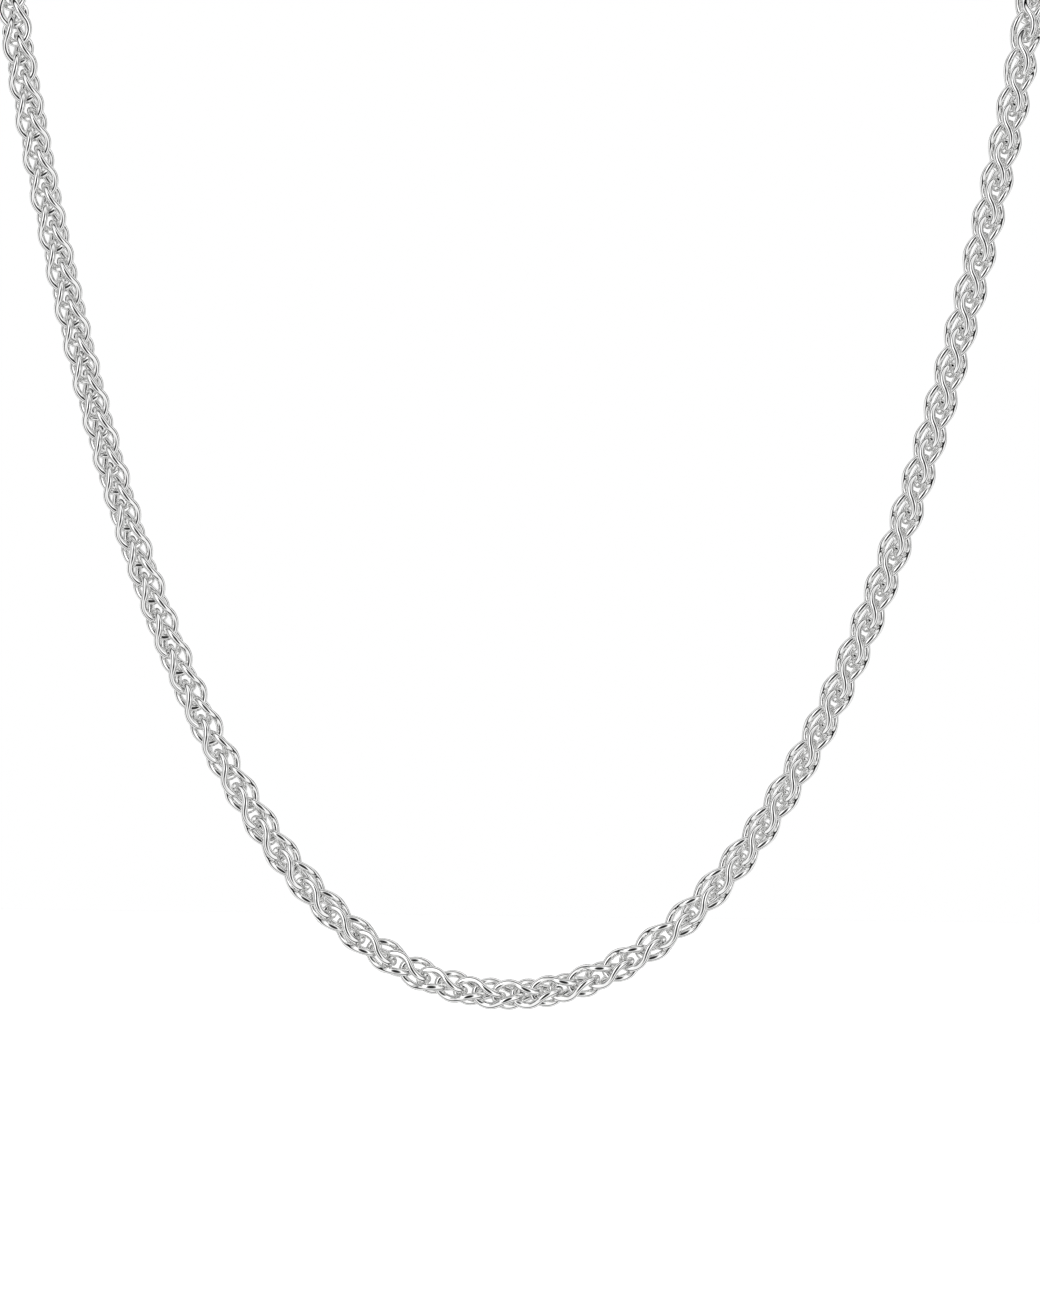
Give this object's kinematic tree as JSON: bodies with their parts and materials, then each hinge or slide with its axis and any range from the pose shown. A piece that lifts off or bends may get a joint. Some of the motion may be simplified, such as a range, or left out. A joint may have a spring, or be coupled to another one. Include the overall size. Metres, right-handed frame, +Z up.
{
  "type": "wheat chain necklace",
  "caption": "Polished silver wheat chain necklace, a whole loop that hangs in a deep curve from the nape of the neck.",
  "frame": {"origin": "middle of the clasp, where the necklace lies on the nape", "axes": "+Z up, -Y towards the viewer in front, +X to the viewer's right"},
  "size_m": [0.1318, 0.0965, 0.165],
  "materials": {
    "silver": "polished"
  },
  "bodies": {
    "root": {"front_left_chain": "silver", "front_right_chain": "silver", "back_left_chain": "silver", "back_right_chain": "silver", "clasp": "silver"}
  },
  "joints": []
}
